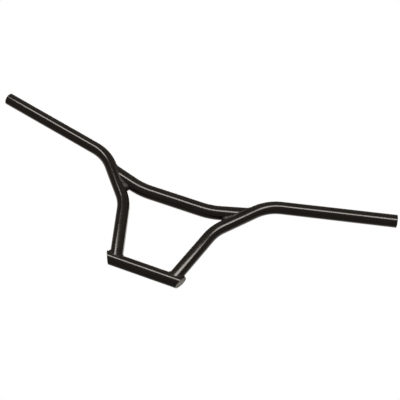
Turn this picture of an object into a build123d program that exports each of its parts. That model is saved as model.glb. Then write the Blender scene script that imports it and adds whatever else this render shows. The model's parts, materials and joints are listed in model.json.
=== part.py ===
from build123d import *

import os
from math import cos, radians, sin, tan

os.makedirs("parts", exist_ok=True)

# Welded T-style handlebar. The origin is on the axis of the clamp tube, halfway along it.
# +X runs along the clamp tube to the rider's right, +Y points forward and +Z up the legs.
# Lengths are millimetres and angles are degrees. A "corner" is where the axes of two straight
# runs would cross if the bend between them had no radius.

# Tubes
clamp_tube_od = 25.4
clamp_tube_wall = 3.0
bar_tube_od = 25.4
bar_tube_wall = 3.0
crossbar_od = 28.6
crossbar_wall = 3.0

# Clamp tube
clamp_tube_length = 150.0  # along its axis, between the two slanted ends
end_slant = 26.0  # of each end face from square, so that the tube is shorter underneath
end_edge_radius = 0.6  # round on the outer rim of each end

# Plugs in the clamp tube's ends
cap_thickness = 4.0
cap_clearance = 0.15  # between the plug and the bore, on the radius
cap_weld_width = 1.7  # groove round the plug's outer face, which the weld fills
cap_weld_depth = 1.5

# Bar tubes: the corners of their axes, from the foot on the clamp tube's axis outwards
foot_inset = 17.3  # from the middle of the clamp tube's end face to the foot
knee_flare = 37.7  # from the foot outboard to the knee
knee_height = 125.5
shoulder_flare = 80.9  # from the knee outboard to the shoulder
shoulder_height = 217.0
overall_half_width = 424.0  # to the end of the grip, on its axis
grip_upsweep = 10.0
grip_backsweep = 5.5
bar_bend_radius = 82.0
bar_end_chamfer = 0.5

# Crossbar
crossbar_joint_reach = 79.2  # from the knee's corner up the leg to where the two axes cross
crossbar_end_rise = 21.6  # from the crossbar's middle run up to that crossing
crossbar_bend_inset = 72.7  # from that crossing inboard to the corner of the bend
crossbar_bend_radius = 142.0

# Joints between the tubes
foot_cope_height = 4.0  # the leg's coped ears stop this far above the clamp tube's axis
cope_gap = 0.1  # left between a coped end and the tube that it stands on
crossbar_cope_offset = 8.0  # and the crossbar's this far from the leg's axis
weld_size = 3.0  # height of a bead off each of the two tubes that it joins

clamp_tube_radius = clamp_tube_od / 2
bar_tube_radius = bar_tube_od / 2
crossbar_radius = crossbar_od / 2
clamp_tube_bore = clamp_tube_radius - clamp_tube_wall
clamp_tube_half = clamp_tube_length / 2
foot_half_spacing = clamp_tube_half - foot_inset
knee_half_spacing = foot_half_spacing + knee_flare
shoulder_half_spacing = knee_half_spacing + shoulder_flare
clamp_tube_blank = clamp_tube_half + 2 * clamp_tube_od  # half the stock the tube is cut from


def end_plane(side, inset=0.0):
    """The plane of the clamp tube's end on that side, facing out, moved in by inset."""
    axis_point = (side * (clamp_tube_half - inset / cos(radians(end_slant))), 0, 0)
    outward = (side * cos(radians(end_slant)), 0, -sin(radians(end_slant)))
    return Plane(origin=axis_point, z_dir=outward)


def bar_corners(side):
    """The axis of one bar tube, which starts below the clamp tube so that it can be coped."""
    foot = Vector(side * foot_half_spacing, 0, 0)
    knee = Vector(side * knee_half_spacing, 0, knee_height)
    shoulder = Vector(side * shoulder_half_spacing, 0, shoulder_height)
    reach = overall_half_width - shoulder_half_spacing
    grip = Vector(
        side * reach,
        -reach * tan(radians(grip_backsweep)),
        reach * tan(radians(grip_upsweep)),
    )
    start = foot - (knee - foot).normalized() * clamp_tube_od
    return [start, knee, shoulder, shoulder + grip]


def crossbar_joint(side):
    """Where the crossbar's axis crosses the axis of the leg on that side."""
    knee, shoulder = bar_corners(side)[1:3]
    return knee + (shoulder - knee).normalized() * crossbar_joint_reach


def crossbar_bend(side):
    """The corner of the crossbar's axis on that side."""
    joint = crossbar_joint(side)
    return Vector(joint.X - side * crossbar_bend_inset, 0, joint.Z - crossbar_end_rise)


def crossbar_corners():
    """The axis of the crossbar, left to right, run on past the legs so that it can be coped."""
    ends = []
    for side in (-1, 1):
        run = (crossbar_joint(side) - crossbar_bend(side)).normalized()
        ends.append(crossbar_joint(side) + run * bar_tube_od)
    return [ends[0], crossbar_bend(-1), crossbar_bend(1), ends[1]]


def crossbar_cope_plane(side, offset):
    """A plane along the upper leg, facing the crossbar, at that distance from the leg's axis."""
    knee, shoulder = bar_corners(side)[1:3]
    along = (shoulder - knee).normalized()
    towards_crossbar = along.cross(Vector(0, side, 0))
    if towards_crossbar.X * side > 0:
        towards_crossbar = -towards_crossbar
    return Plane(
        origin=crossbar_joint(side) + towards_crossbar * offset, z_dir=towards_crossbar
    )


def rod(corners, bend_radius, radius):
    """A solid round bar along straight runs joined by bends, used to cut and bound."""
    with BuildPart() as bar:
        with BuildLine() as route:
            FilletPolyline(*corners, radius=[bend_radius, bend_radius])
        with BuildSketch(Plane(origin=corners[0], z_dir=route.line % 0)):
            Circle(radius)
        sweep(path=route.line)
    return bar.part


def clamp_tube_rod(growth):
    """A solid bar on the clamp tube's axis, larger than the tube by growth on the radius."""
    with BuildPart() as bar:
        with BuildSketch(Plane.YZ):
            Circle(clamp_tube_radius + growth)
        extrude(amount=clamp_tube_blank, both=True)
    return bar.part


def cap_groove(side):
    """The groove round the outer face of the plug on that side, run on past the tube's end."""
    with BuildPart() as ring:
        with BuildSketch(Plane.YZ):
            Circle(clamp_tube_bore)
            Circle(clamp_tube_bore - cap_weld_width, mode=Mode.SUBTRACT)
        extrude(amount=side * clamp_tube_blank)
        split(bisect_by=end_plane(side, cap_weld_depth))
    return ring.part


def finish(piece, name):
    """Name a finished piece and write its file."""
    piece.part.label = name
    export_step(piece.part, f"parts/{name}.step")


with BuildPart() as clamp_tube:
    with BuildSketch(Plane.YZ):
        Circle(clamp_tube_radius)
        Circle(clamp_tube_bore, mode=Mode.SUBTRACT)
    extrude(amount=clamp_tube_blank, both=True)
    for side in (-1, 1):
        split(bisect_by=end_plane(side), keep=Keep.BOTTOM)
    rims = clamp_tube.edges().filter_by(GeomType.ELLIPSE).sort_by(SortBy.LENGTH)[-2:]
    fillet(rims, end_edge_radius)
finish(clamp_tube, "clamp_tube")

crossbar_stock = rod(crossbar_corners(), crossbar_bend_radius, crossbar_radius)
crossbar_envelope = rod(crossbar_corners(), crossbar_bend_radius, crossbar_radius + weld_size)

with BuildPart() as crossbar_tube:
    with BuildLine() as route:
        FilletPolyline(*crossbar_corners(), radius=[crossbar_bend_radius, crossbar_bend_radius])
    with BuildSketch(Plane(origin=crossbar_corners()[0], z_dir=route.line % 0)):
        Circle(crossbar_radius)
        Circle(crossbar_radius - crossbar_wall, mode=Mode.SUBTRACT)
    sweep(path=route.line)
    for side in (-1, 1):
        split(bisect_by=crossbar_cope_plane(side, crossbar_cope_offset))
        cope_tool = rod(bar_corners(side), bar_bend_radius, bar_tube_radius + cope_gap)
        add(cope_tool, mode=Mode.SUBTRACT)
finish(crossbar_tube, "crossbar_tube")

for name, side in (("left", -1), ("right", 1)):
    with BuildPart() as end_cap:
        with BuildSketch(Plane.YZ):
            Circle(clamp_tube_bore - cap_clearance)
        extrude(amount=side * clamp_tube_blank)
        split(bisect_by=end_plane(side), keep=Keep.BOTTOM)
        split(bisect_by=end_plane(side, cap_thickness))
        add(cap_groove(side), mode=Mode.SUBTRACT)
    finish(end_cap, f"{name}_end_cap")

    with BuildPart() as cap_weld:
        add(cap_groove(side))
        split(bisect_by=end_plane(side), keep=Keep.BOTTOM)
    finish(cap_weld, f"{name}_cap_weld")

    corners = bar_corners(side)
    leg_stock = rod(corners, bar_bend_radius, bar_tube_radius)
    leg_envelope = rod(corners, bar_bend_radius, bar_tube_radius + weld_size)
    foot_cope = Plane.XY.offset(foot_cope_height)
    leg_above_cope = split(leg_stock, bisect_by=foot_cope)
    crossbar_cope = crossbar_cope_plane(side, crossbar_cope_offset)
    crossbar_up_to_cope = split(crossbar_stock, bisect_by=crossbar_cope)

    with BuildPart() as bar_tube:
        with BuildLine() as route:
            FilletPolyline(*corners, radius=[bar_bend_radius, bar_bend_radius])
        with BuildSketch(Plane(origin=corners[0], z_dir=route.line % 0)):
            Circle(bar_tube_radius)
            Circle(bar_tube_radius - bar_tube_wall, mode=Mode.SUBTRACT)
        sweep(path=route.line)
        open_end = bar_tube.faces().filter_by(GeomType.PLANE).sort_by(Axis.Z)[-1]
        chamfer(open_end.edges(), bar_end_chamfer)
        split(bisect_by=foot_cope)
        add(clamp_tube_rod(cope_gap), mode=Mode.SUBTRACT)
    finish(bar_tube, f"{name}_bar_tube")

    with BuildPart() as foot_weld:
        add(leg_envelope)
        add(clamp_tube_rod(weld_size), mode=Mode.INTERSECT)
        split(bisect_by=foot_cope.offset(-weld_size))
        add(leg_above_cope, mode=Mode.SUBTRACT)
        add(clamp_tube_rod(0), mode=Mode.SUBTRACT)
    finish(foot_weld, f"{name}_foot_weld")

    with BuildPart() as crossbar_weld:
        add(leg_envelope)
        add(crossbar_envelope, mode=Mode.INTERSECT)
        split(bisect_by=crossbar_cope.offset(-weld_size))
        add(crossbar_up_to_cope, mode=Mode.SUBTRACT)
        add(leg_stock, mode=Mode.SUBTRACT)
    finish(crossbar_weld, f"{name}_crossbar_weld")
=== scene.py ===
import json
from collections import namedtuple
from math import acos, cos, pi, radians, sin

import bpy
import numpy as np
from mathutils import Matrix, Vector
from mathutils.bvhtree import BVHTree


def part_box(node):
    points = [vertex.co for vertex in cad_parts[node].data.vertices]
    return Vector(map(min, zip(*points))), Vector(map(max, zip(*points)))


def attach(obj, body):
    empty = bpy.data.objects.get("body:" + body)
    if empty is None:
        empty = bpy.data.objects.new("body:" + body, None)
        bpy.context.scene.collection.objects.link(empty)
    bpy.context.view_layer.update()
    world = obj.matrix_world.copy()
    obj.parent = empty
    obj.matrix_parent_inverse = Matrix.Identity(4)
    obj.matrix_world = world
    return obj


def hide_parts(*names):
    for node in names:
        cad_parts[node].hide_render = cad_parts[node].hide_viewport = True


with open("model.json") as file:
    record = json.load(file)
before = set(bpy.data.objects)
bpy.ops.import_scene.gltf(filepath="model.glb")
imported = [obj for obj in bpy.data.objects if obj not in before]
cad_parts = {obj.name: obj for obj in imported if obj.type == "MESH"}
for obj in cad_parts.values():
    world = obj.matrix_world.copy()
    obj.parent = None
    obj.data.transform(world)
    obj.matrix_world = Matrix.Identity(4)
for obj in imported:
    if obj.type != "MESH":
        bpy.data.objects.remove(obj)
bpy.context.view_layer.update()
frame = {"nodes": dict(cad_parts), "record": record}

# Welded T-style handlebar in gloss black powder coat. The CAD's tubes, plugs and plug welds keep
# their own meshes, and the plain weld collars between the tubes are replaced by rippled beads.
# Lengths are metres. +X is the rider's right, +Y forward and +Z up the legs.

MM = 0.001
nodes = frame["nodes"]
mounts = {mount["name"]: mount for mount in frame["record"]["mounts"]}

# Camera
CAMERA_PLACE = Vector((0.2668, -1.1347, -0.4706))
CAMERA_AZIMUTH = 11.05  # degrees round from the rider's side towards the bar's right end
CAMERA_ELEVATION = -29.475  # negative, so below the bar and looking up
CAMERA_ROLL = 23.59
CAMERA_LENS = 59.4  # millimetres, on a sensor 36 mm wide
CAMERA_SENSOR = 36

# Powder coat
DEEP_BLACK = (0.0078, 0.0064, 0.0052)
WORN_BLACK = (0.0108, 0.0088, 0.0072)
DUST = (0.09, 0.082, 0.072)
PORE_SHARE = 0.18  # depth of the finest unevenness, as a share of the orange peel's

# Weld beads
BEAD_FACE = 2.2 * MM  # its reach along the host tube where the two surfaces are flush
BEAD_FACE_SWELL = 0.18 * MM  # how much the bead's width wanders
BEAD_HEIGHT_SWELL = 0.08  # how much its height wanders, as a share
BEAD_BULGE = 0.2 * MM  # of its face past flat, in a crotch
BEAD_BULGE_FLAT = 0.7 * MM  # and so much more where the two surfaces are flush
BEAD_ROUNDNESS = 0.8  # below 1 the bulge is fuller near the bead's edges
BEAD_COVER = 0.6 * MM  # how far the face's middle rises past the coped tube's edge at least
BEAD_SINK = 0.12 * MM  # how deep the bead's own edges lie in the tubes
BEAD_ROOT = 0.5 * MM  # how deep its hidden underside lies in them
BEAD_ROOT_MIDDLE = 0.35 * MM  # its middle's step in from the gap, taken once for each tube
BEAD_OBTUSE_REACH = 0.9 * MM  # up the coped tube where the tubes meet at a wide angle
OBTUSE_RANGE = (95, 135)  # degrees between the surfaces over which it shrinks to that lap
ACUTE_RANGE = (35, 70)  # degrees over which it changes to the crotch's fill, whole at the lower
FOOT_CROTCH_FILL = 5 * MM
CROSSBAR_CROTCH_FILL = {"left": 9.4 * MM, "right": 7.2 * MM}
RIPPLE_PITCH = 1.9 * MM
RIPPLE_HEIGHT = 0.11 * MM
RIPPLE_SWEEP = 0.55  # how far a ripple's ends trail its middle, in ripples
RIPPLE_WOBBLE = 0.22  # how unevenly the ripples are spaced, in ripples
RIPPLE_ROUNDNESS = 0.75
RIPPLE_FADE = 2.2  # how fast the ripples come up to full height from the bead's edges
BEAD_STEP = 0.24 * MM  # between the bead's sections
BEAD_ACROSS = 14  # points across the face of each section
SECTION = BEAD_ACROSS + 3  # all its points, with the three of the hidden underside
EDGE_SMOOTHING = 3  # samples to each side
WOBBLE_SMOOTHING = 22  # sections to each side
SWELL_SMOOTHING = 14
FOOT_SEED = 11
CROSSBAR_SEED = 21

# Reading the tubes' axes and ends from the CAD
FORWARD = Vector((0, 1, 0))
OUTSIDE = 1.0  # a distance that is clear of the whole bar
FOOT_PROBES = (2 * MM, 30 * MM)  # heights above the foot's collar that fix the leg's slope
FOOT_START = 0.3  # share of the way up the probes where the walk down to the cope starts
FOOT_LONGEST = 40 * MM  # the furthest that the walk goes
CROSSBAR_PROBES = (3 * MM, 23 * MM)  # outboard of the collar's inner end
CROSSBAR_START = -4 * MM  # from the first probe
CROSSBAR_LONGEST = 75 * MM
EDGE_SAMPLES = 540  # walks round the tube
MARCH_STEP = 0.2 * MM
MARCH_REACH = 0.22 * MM  # a walk ends where no face of the tube is this near

# Studio
BAR_MIDDLE = Vector((0, 0, 0.12))
FRONT_STRIP_ENDS = ((-0.77, -0.95, 0.33), (-0.2, -0.95, 0.25), (0.6, -0.95, 0.26))
FRONT_STRIP_WIDTH = 0.26
FRONT_RADIANCE = 8.0
FRONT_COLOUR = (1, 0.93, 0.86)
ROOM_DIM = (0.14, 0.122, 0.107)
ROOM_GLOW = (0.8, 0.74, 0.68)
FLOOR_HEIGHT = -1.8
FLOOR_HALF = 40

# A straight stretch of a tube. The axis of a coped one points on into its joint.
Tube = namedtuple("Tube", "node point axis radius")


# ---------------------------------------------------------------- camera
def camera_axes(azimuth, elevation, roll):
    """The camera's right, up and back directions, from angles in degrees."""
    az, el, turn = radians(azimuth), radians(elevation), radians(roll)
    back = Vector((sin(az) * cos(el), -cos(az) * cos(el), sin(el)))
    right = (-back).cross(Vector((0, 0, 1))).normalized()
    down = (-back).cross(right)
    tilted_right = right * cos(turn) - down * sin(turn)
    tilted_down = right * sin(turn) + down * cos(turn)
    return tilted_right, -tilted_down, back


def make_camera():
    data = bpy.data.cameras.new("camera")
    data.sensor_width = CAMERA_SENSOR
    data.lens = CAMERA_LENS
    data.clip_start = 0.05
    data.clip_end = 50
    camera = bpy.data.objects.new("camera", data)
    bpy.context.scene.collection.objects.link(camera)
    axes = camera_axes(CAMERA_AZIMUTH, CAMERA_ELEVATION, CAMERA_ROLL)
    turned = Matrix(axes).transposed().to_4x4()
    camera.matrix_world = Matrix.Translation(CAMERA_PLACE) @ turned
    bpy.context.scene.camera = camera


# ---------------------------------------------------------------- node helpers
def new_material(name):
    """A material with one Principled shader, and the coordinates on its object."""
    material = bpy.data.materials.new(name)
    material.use_nodes = True
    tree = material.node_tree
    tree.nodes.clear()
    output = tree.nodes.new("ShaderNodeOutputMaterial")
    shader = tree.nodes.new("ShaderNodeBsdfPrincipled")
    tree.links.new(shader.outputs["BSDF"], output.inputs["Surface"])
    place = tree.nodes.new("ShaderNodeTexCoord")
    return material, tree, shader, place.outputs["Object"]


def noise(tree, place, scale, detail=2.0, roughness=0.5):
    node = tree.nodes.new("ShaderNodeTexNoise")
    node.inputs["Scale"].default_value = scale
    node.inputs["Detail"].default_value = detail
    node.inputs["Roughness"].default_value = roughness
    tree.links.new(place, node.inputs["Vector"])
    return node.outputs["Fac"]


def spread(tree, value, low, high, to_low, to_high):
    """The value, from low to high, stretched to run from to_low to to_high and held there."""
    node = tree.nodes.new("ShaderNodeMapRange")
    node.clamp = True
    node.inputs["From Min"].default_value = low
    node.inputs["From Max"].default_value = high
    node.inputs["To Min"].default_value = to_low
    node.inputs["To Max"].default_value = to_high
    tree.links.new(value, node.inputs["Value"])
    return node.outputs["Result"]


def feed(tree, value, socket):
    """Link an output to a socket, or set the socket to a plain value."""
    if hasattr(value, "is_output"):
        tree.links.new(value, socket)
    else:
        socket.default_value = value


def mix_colour(tree, factor, first, second):
    """Two colours mixed; the first may be an output, the others are red, green and blue."""
    node = tree.nodes.new("ShaderNodeMix")
    node.data_type = "RGBA"
    tree.links.new(factor, node.inputs["Factor"])
    colours = [socket for socket in node.inputs if socket.type == "RGBA"]
    feed(tree, first if hasattr(first, "is_output") else (*first, 1), colours[0])
    feed(tree, (*second, 1), colours[1])
    return [socket for socket in node.outputs if socket.type == "RGBA"][0]


def maths(tree, operation, first, second=0.0, clamp=False):
    node = tree.nodes.new("ShaderNodeMath")
    node.operation = operation
    node.use_clamp = clamp
    feed(tree, first, node.inputs[0])
    feed(tree, second, node.inputs[1])
    return node.outputs[0]


def bump(tree, height, distance, before=None):
    """A bumped normal, laid over an earlier one if there is one."""
    node = tree.nodes.new("ShaderNodeBump")
    node.inputs["Strength"].default_value = 1
    node.inputs["Distance"].default_value = distance
    tree.links.new(height, node.inputs["Height"])
    if before is not None:
        tree.links.new(before, node.inputs["Normal"])
    return node.outputs["Normal"]


# ---------------------------------------------------------------- materials
def settled_dust(tree, place):
    """Where fine dust specks lie: scattered everywhere, but thicker in some places."""
    grains = noise(tree, place, scale=2600, detail=1)
    drifts = noise(tree, place, scale=60, detail=4, roughness=0.6)
    specks = spread(tree, grains, 0.72, 0.8, 0, 1)
    thickness = spread(tree, drifts, 0.52, 0.75, 0, 0.35)
    return maths(tree, "MULTIPLY", specks, thickness)


def gloss_black(name, peel, smoothest, roughest, clear):
    """Black powder coat: orange peel of that depth, cloudy gloss, clear lacquer and dust."""
    material, tree, shader, place = new_material(name)
    dust = settled_dust(tree, place)

    cloud = spread(tree, noise(tree, place, scale=28, detail=3), 0.35, 0.65, 0, 1)
    black = mix_colour(tree, cloud, DEEP_BLACK, WORN_BLACK)
    colour = mix_colour(tree, dust, black, DUST)
    tree.links.new(colour, shader.inputs["Base Color"])

    smears = noise(tree, place, scale=45, detail=5, roughness=0.62)
    smeared = spread(tree, smears, 0.35, 0.7, smoothest, roughest)
    dulled = maths(tree, "MULTIPLY", dust, 0.35)
    roughness = maths(tree, "ADD", smeared, dulled, clamp=True)
    tree.links.new(roughness, shader.inputs["Roughness"])
    shader.inputs["IOR"].default_value = 1.5
    shader.inputs["Coat Weight"].default_value = clear
    shader.inputs["Coat Roughness"].default_value = 0.08

    waves = noise(tree, place, scale=420, detail=2, roughness=0.45)
    pores = noise(tree, place, scale=1500, detail=2)
    waved = bump(tree, waves, peel)
    peeled = bump(tree, pores, peel * PORE_SHARE, waved)
    tree.links.new(peeled, shader.inputs["Normal"])
    return material


def pale_floor():
    """A pale, slightly uneven floor that is also lit evenly from within."""
    material, tree, shader, place = new_material("floor")
    tone = spread(tree, noise(tree, place, scale=3, detail=3), 0.3, 0.7, 0, 1)
    colour = mix_colour(tree, tone, (0.84, 0.83, 0.81), (0.88, 0.87, 0.85))
    tree.links.new(colour, shader.inputs["Base Color"])
    shader.inputs["Roughness"].default_value = 0.8
    shader.inputs["Emission Color"].default_value = (1, 0.985, 0.965, 1)
    shader.inputs["Emission Strength"].default_value = 0.55
    return material


# ---------------------------------------------------------------- tubes, read from the CAD
search_trees = {}


def surface(name):
    """A search tree of a CAD node's own faces."""
    if name not in search_trees:
        mesh = nodes[name].data
        corners = [vertex.co for vertex in mesh.vertices]
        faces = [tuple(polygon.vertices) for polygon in mesh.polygons]
        search_trees[name] = BVHTree.FromPolygons(corners, faces)
    return search_trees[name]


def first_hit(name, start, direction):
    """Where a ray first meets a CAD node."""
    hit = surface(name).ray_cast(Vector(start), Vector(direction))[0]
    if hit is None:
        raise ValueError(f"nothing of {name} lies ahead of {tuple(start)}")
    return hit


def leg_point(name, side, height):
    """The point of a leg's axis at that height, halfway between its two sides."""
    inboard = first_hit(name, (0, 0, height), (side, 0, 0))
    outboard = first_hit(name, (side * OUTSIDE, 0, height), (-side, 0, 0))
    return (inboard + outboard) / 2


def crossbar_run(side, near, far, radius):
    """A point of the crossbar's axis, square under its top at near, and its way outboard."""
    near_top = first_hit("crossbar_tube", (side * near, 0, OUTSIDE), (0, 0, -1))
    far_top = first_hit("crossbar_tube", (side * far, 0, OUTSIDE), (0, 0, -1))
    outboard = (far_top - near_top).normalized()
    downward = FORWARD.cross(outboard) * side
    if downward.z > 0:
        downward = -downward
    return near_top + downward * radius, outboard


def on_tube(tube, angle, along):
    """A point of a tube's surface, that far along its axis, and the way out of it there."""
    outward = FORWARD * cos(angle) + tube.axis.cross(FORWARD) * sin(angle)
    return tube.point + tube.axis * along + outward * tube.radius, outward


def run_to_cope(tube, angle, longest):
    """How far the coped tube's surface runs on along its axis at that angle."""
    along = 0.0
    while along < longest:
        point = on_tube(tube, angle, along)[0]
        if surface(tube.node).find_nearest(point, MARCH_REACH)[0] is None:
            break
        along += MARCH_STEP
    return max(along - MARCH_STEP, 0)


def to_axis(point, tube):
    """The nearest point of a tube's axis, and the way from it out to the point."""
    foot = tube.point + tube.axis * (point - tube.point).dot(tube.axis)
    return foot, (point - foot).normalized()


# ---------------------------------------------------------------- weld beads
def smooth_ring(values, width):
    """A moving average round a closed ring."""
    values = np.asarray(values, float)
    total = sum(np.roll(values, shift, axis=0) for shift in range(-width, width + 1))
    return total / (2 * width + 1)


def drift(chance, count, width):
    """Slow unevenness round a closed ring, between -1 and 1."""
    values = smooth_ring(chance.normal(0, 1, count), width)
    return values / np.abs(values).max()


def joint_line(coped, longest):
    """The coped tube's edge all round the joint, in even steps, and its length.

    Each step gives a point of the edge and the way out of the coped tube there.
    """
    angles = np.linspace(0, 2 * pi, EDGE_SAMPLES, endpoint=False)
    runs = [run_to_cope(coped, angle, longest) for angle in angles]
    runs = smooth_ring(runs, EDGE_SMOOTHING)
    edge = np.array([on_tube(coped, angle, run)[0] for angle, run in zip(angles, runs)])
    gaps = np.linalg.norm(np.roll(edge, -1, axis=0) - edge, axis=1)
    run_up = np.concatenate([[0], np.cumsum(gaps)])
    length = run_up[-1]
    marks = np.linspace(0, length, round(length / BEAD_STEP), endpoint=False)
    closed_angles = np.append(angles, 2 * pi)
    wound = np.interp(marks, run_up, closed_angles)
    ends = np.interp(wound, closed_angles, np.append(runs, runs[0]))
    return [on_tube(coped, angle, run) for angle, run in zip(wound, ends)], length


def ramp(angle, low, high):
    """0 up to low, 1 from high on and even in between; the angle is in radians, they in degrees."""
    return min(max((angle - radians(low)) / radians(high - low), 0), 1)


def bead_section(edge_point, out_coped, tangent, coped, host, crotch_fill, swell, phase):
    """One slice across the bead: its face from host to coped tube, then its hidden root."""
    foot, out_host = to_axis(edge_point, host)
    host_surface = foot + out_host * host.radius
    on_host = out_host.cross(tangent).normalized()
    if on_host.dot(out_coped) < 0:
        on_host = -on_host
    on_coped = out_coped.cross(tangent).normalized()
    if on_coped.dot(coped.axis) > 0:
        on_coped = -on_coped
    opening = acos(max(-1, min(1, on_host.dot(on_coped))))

    # The bead fills a narrow crotch further out, and is a thin lap where the angle is wide.
    acute = 1 - ramp(opening, *ACUTE_RANGE)
    obtuse = ramp(opening, *OBTUSE_RANGE)
    face = BEAD_FACE + BEAD_FACE_SWELL * swell
    reach = face / sin(opening / 2) * (1 - acute) + crotch_fill * acute
    coped_reach = reach * (1 - obtuse) + BEAD_OBTUSE_REACH * obtuse
    foot, outward = to_axis(host_surface + on_host * reach, host)
    host_toe = foot + outward * (host.radius - BEAD_SINK)
    foot, outward = to_axis(edge_point + on_coped * coped_reach, coped)
    coped_toe = foot + outward * (coped.radius - BEAD_SINK)

    chord = coped_toe - host_toe
    upward = (out_host + out_coped).normalized()
    upward = (upward - chord * (upward.dot(chord) / chord.length_squared)).normalized()
    share = (edge_point - host_toe).dot(chord) / chord.length_squared
    proud = (edge_point - host_toe - chord * share).dot(upward)
    flatness = opening / pi
    bulge = BEAD_BULGE + BEAD_BULGE_FLAT * flatness**2
    bulge = max(bulge, proud + BEAD_COVER) * (1 + BEAD_HEIGHT_SWELL * swell)

    points = []
    for across in np.linspace(0, 1, BEAD_ACROSS):
        dome = 4 * across * (1 - across)
        trailing = RIPPLE_SWEEP * (2 * across - 1) ** 2
        crest = abs(sin(pi * (phase + trailing))) ** RIPPLE_ROUNDNESS
        ripple = RIPPLE_HEIGHT * (crest - 0.5) * min(1, RIPPLE_FADE * dome)
        height = bulge * dome**BEAD_ROUNDNESS + ripple
        points.append(host_toe + chord * across + upward * height)
    middle = (edge_point + host_surface) / 2
    points.append(edge_point - out_coped * BEAD_ROOT)
    points.append(middle - (out_coped + out_host) * BEAD_ROOT_MIDDLE)
    points.append(host_surface - out_host * BEAD_ROOT)
    return points


def ring_faces(sections):
    """The quads of a closed ring of equal sections."""
    faces = []
    for here in range(sections):
        start = here * SECTION
        after = (here + 1) % sections * SECTION
        for point in range(SECTION):
            beside = (point + 1) % SECTION
            faces.append((start + point, start + beside, after + beside, after + point))
    return faces


def add_bead(name, points):
    """A smooth mesh object of the bead's sections, with its faces turned outwards."""
    mesh = bpy.data.meshes.new(name)
    mesh.from_pydata(points, [], ring_faces(len(points) // SECTION))
    mesh.update()
    bead = bpy.data.objects.new(name, mesh)
    bpy.context.scene.collection.objects.link(bead)
    bpy.ops.object.select_all(action="DESELECT")
    bead.select_set(True)
    bpy.context.view_layer.objects.active = bead
    bpy.ops.object.mode_set(mode="EDIT")
    bpy.ops.mesh.select_all(action="SELECT")
    bpy.ops.mesh.normals_make_consistent(inside=False)
    bpy.ops.object.mode_set(mode="OBJECT")
    for polygon in mesh.polygons:
        polygon.use_smooth = True
    return bead


def weld_bead(name, collar, coped, host, longest, crotch_fill, seed):
    """A rippled bead all round a coped tube's end, in place of the CAD's plain collar."""
    line, length = joint_line(coped, longest)
    stations = len(line)
    ripples = round(length / RIPPLE_PITCH)
    chance = np.random.RandomState(seed)
    wobble = drift(chance, stations, WOBBLE_SMOOTHING)
    swell = drift(chance, stations, SWELL_SMOOTHING)
    points = []
    for k, (edge_point, out_coped) in enumerate(line):
        tangent = (line[(k + 1) % stations][0] - line[k - 1][0]).normalized()
        phase = ripples * k / stations + RIPPLE_WOBBLE * wobble[k]
        points += bead_section(
            edge_point, out_coped, tangent, coped, host, crotch_fill, swell[k], phase
        )
    bead = add_bead(name, points)
    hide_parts(collar)
    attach(bead, "root")
    return bead


def foot_bead(side_name, side, clamp_tube):
    """The bead where a leg stands on the clamp tube."""
    collar = f"{side_name}_foot_weld"
    leg = f"{side_name}_bar_tube"
    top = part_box(collar)[1].z
    lower, upper = [leg_point(leg, side, top + height) for height in FOOT_PROBES]
    down = (lower - upper).normalized()
    start = lower.lerp(upper, FOOT_START)
    coped = Tube(leg, start, down, clamp_tube.radius)
    name = f"{side_name}_foot_bead"
    seed = FOOT_SEED + side
    return weld_bead(name, collar, coped, clamp_tube, FOOT_LONGEST, FOOT_CROTCH_FILL, seed)


def crossbar_bead(side_name, side, leg_radius):
    """The bead round one end of the crossbar."""
    collar = f"{side_name}_crossbar_weld"
    leg = f"{side_name}_bar_tube"
    low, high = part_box(collar)
    bottom = leg_point(leg, side, low.z)
    middle = leg_point(leg, side, (low.z + high.z) / 2)
    host = Tube(leg, bottom, (middle - bottom).normalized(), leg_radius)
    bar_low, bar_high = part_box("crossbar_tube")
    radius = (bar_high.y - bar_low.y) / 2
    inner = min(abs(low.x), abs(high.x))
    near, far = [inner + probe for probe in CROSSBAR_PROBES]
    on_axis, outboard = crossbar_run(side, near, far, radius)
    coped = Tube("crossbar_tube", on_axis + outboard * CROSSBAR_START, outboard, radius)
    name = f"{side_name}_crossbar_bead"
    fill = CROSSBAR_CROTCH_FILL[side_name]
    seed = CROSSBAR_SEED + side
    return weld_bead(name, collar, coped, host, CROSSBAR_LONGEST, fill, seed)


def make_beads():
    tube_radius = mounts["clamp_seat"]["dims"]["r_mm"] * MM
    clamp_tube = Tube("clamp_tube", Vector((0, 0, 0)), Vector((1, 0, 0)), tube_radius)
    beads = []
    for side_name, side in (("left", -1), ("right", 1)):
        beads.append(foot_bead(side_name, side, clamp_tube))
        beads.append(crossbar_bead(side_name, side, tube_radius))
    return beads


# ---------------------------------------------------------------- finishes
def finish_pieces(beads):
    """Powder coat on everything: smoothest on the tubes, dullest over the welds."""
    tube_coat = gloss_black("tube_coat", 0.005 * MM, smoothest=0.17, roughest=0.22, clear=0.4)
    weld_coat = gloss_black("weld_coat", 0.012 * MM, smoothest=0.46, roughest=0.56, clear=0.03)
    cap_coat = gloss_black("cap_coat", 0.02 * MM, smoothest=0.26, roughest=0.36, clear=0.3)
    for name, piece in nodes.items():
        coat = tube_coat
        if name.endswith("end_cap"):
            coat = cap_coat
        elif name.endswith("weld"):
            coat = weld_coat
        piece.data.materials.clear()
        piece.data.materials.append(coat)
    for bead in beads:
        bead.data.materials.append(weld_coat)


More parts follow.
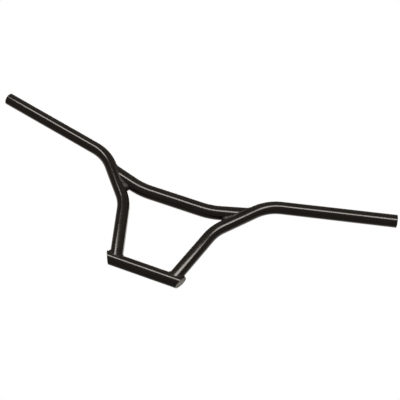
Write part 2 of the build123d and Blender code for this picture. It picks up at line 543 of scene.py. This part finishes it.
# ---------------------------------------------------------------- studio
def strip_light(name, start, end, aim, height, radiance, colour):
    """A long soft panel from start to end, facing aim, that the camera doesn't see itself."""
    start, end, aim = Vector(start), Vector(end), Vector(aim)
    middle = (start + end) / 2
    along = (end - start).normalized()
    back = middle - aim
    back = (back - along * back.dot(along)).normalized()
    data = bpy.data.lights.new(name, "AREA")
    data.shape = "RECTANGLE"
    data.size = (end - start).length
    data.size_y = height
    data.energy = radiance * pi * data.size * data.size_y
    data.color = colour
    lamp = bpy.data.objects.new(name, data)
    bpy.context.scene.collection.objects.link(lamp)
    turned = Matrix((along, back.cross(along), back)).transposed().to_4x4()
    lamp.matrix_world = Matrix.Translation(middle) @ turned
    lamp.visible_camera = False
    return lamp


def front_strip(name, start, end):
    strip_light(name, start, end, BAR_MIDDLE, FRONT_STRIP_WIDTH, FRONT_RADIANCE, FRONT_COLOUR)


def make_lights():
    """Two front strips end to end, a dim one behind, and a wide panel above that isn't mirrored."""
    left, join, right = FRONT_STRIP_ENDS
    front_strip("front_strip_left", left, join)
    front_strip("front_strip_right", join, right)
    strip_light(
        "back_strip", (-1, 1.1, 1.05), (1, 1.1, 1.05), aim=BAR_MIDDLE,
        height=0.3, radiance=2.5, colour=(1, 0.95, 0.9),
    )
    overhead = strip_light(
        "overhead", (-1.2, 0.2, 2.2), (1.2, 0.2, 2.2), aim=(0, 0.2, 0),
        height=2.4, radiance=4.5, colour=(1, 0.97, 0.94),
    )
    overhead.visible_glossy = False


def make_world():
    """A white background to look at, and a dim room with a glow behind the bar to light it."""
    world = bpy.data.worlds.new("studio")
    bpy.context.scene.world = world
    world.use_nodes = True
    tree = world.node_tree
    tree.nodes.clear()
    output = tree.nodes.new("ShaderNodeOutputWorld")
    seen = tree.nodes.new("ShaderNodeBackground")
    seen.inputs["Color"].default_value = (1, 1, 1, 1)
    room = tree.nodes.new("ShaderNodeBackground")
    place = tree.nodes.new("ShaderNodeTexCoord")
    parts = tree.nodes.new("ShaderNodeSeparateXYZ")
    tree.links.new(place.outputs["Generated"], parts.inputs["Vector"])
    behind = spread(tree, parts.outputs["Y"], 0.2, 0.8, 0, 1)
    level = spread(tree, maths(tree, "ABSOLUTE", parts.outputs["Z"]), 0.15, 0.5, 1, 0.12)
    glow = maths(tree, "MULTIPLY", behind, level)
    colour = mix_colour(tree, glow, ROOM_DIM, ROOM_GLOW)
    tree.links.new(colour, room.inputs["Color"])
    path = tree.nodes.new("ShaderNodeLightPath")
    mix = tree.nodes.new("ShaderNodeMixShader")
    tree.links.new(path.outputs["Is Camera Ray"], mix.inputs["Fac"])
    tree.links.new(room.outputs["Background"], mix.inputs[1])
    tree.links.new(seen.outputs["Background"], mix.inputs[2])
    tree.links.new(mix.outputs["Shader"], output.inputs["Surface"])


def make_floor():
    """A floor far enough below that the camera, which looks up at the bar, is above it."""
    half = FLOOR_HALF
    outline = [(-half, -half), (half, -half), (half, half), (-half, half)]
    mesh = bpy.data.meshes.new("floor")
    mesh.from_pydata([(x, y, FLOOR_HEIGHT) for x, y in outline], [], [(0, 1, 2, 3)])
    mesh.materials.append(pale_floor())
    floor = bpy.data.objects.new("floor", mesh)
    bpy.context.scene.collection.objects.link(floor)
    floor.visible_glossy = False
    floor.visible_diffuse = False


finish_pieces(make_beads())
make_camera()
make_world()
make_floor()
make_lights()
bpy.context.scene.view_settings.view_transform = "Standard"
